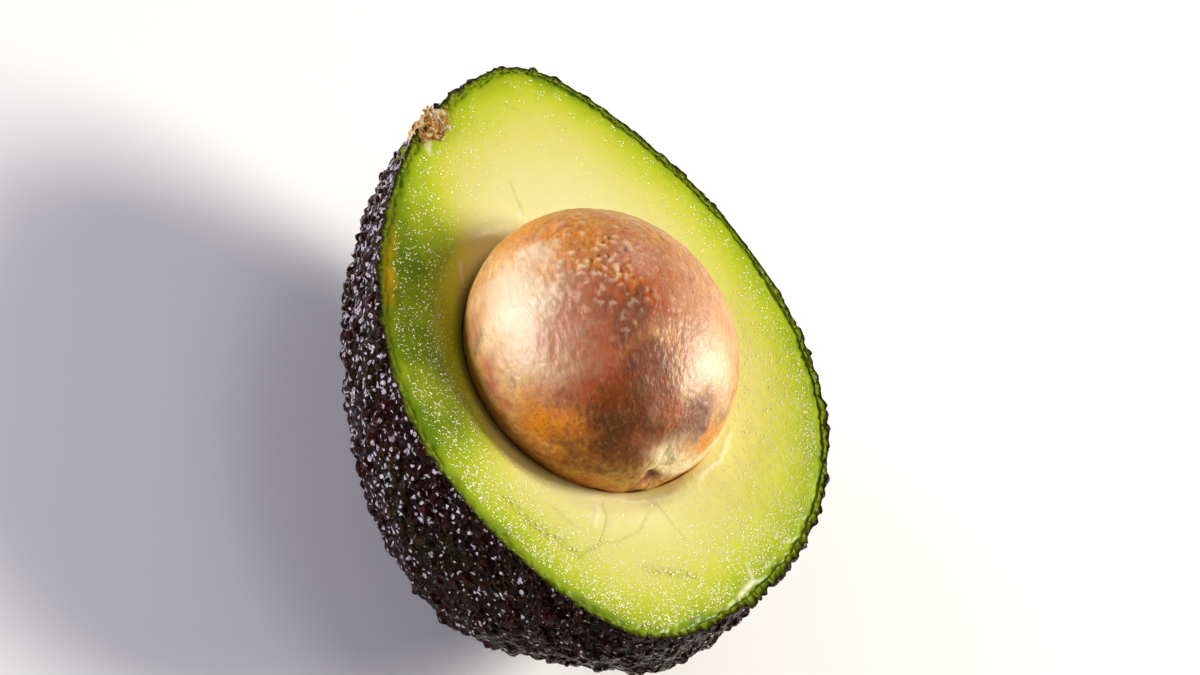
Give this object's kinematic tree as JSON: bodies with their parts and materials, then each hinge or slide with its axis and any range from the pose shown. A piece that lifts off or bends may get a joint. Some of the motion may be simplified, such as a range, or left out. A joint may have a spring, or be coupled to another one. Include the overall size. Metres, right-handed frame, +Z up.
{
  "type": "half avocado",
  "caption": "Ripe avocado half with pebbled dark skin, pale green flesh and its seed, lying on its skin with the cut face up.",
  "frame": {"origin": "middle of the underside of the whole half, on the surface that it lies on", "axes": "+X from the stem end to the blossom end, +Z up out of the cut face"},
  "size_m": [0.0996, 0.0724, 0.0562],
  "materials": {
    "skin": "glossy pebbled rind, near black purple with olive patches",
    "flesh": "moist buttery pulp, lime green at the skin and pale yellow at the seed",
    "seed": "smooth damp seed coat, mottled tan and brown",
    "stem": "rough dry cork"
  },
  "bodies": {
    "root": {"skin": "skin", "flesh": "flesh", "seed": "seed", "stem_button": "stem"}
  },
  "joints": []
}
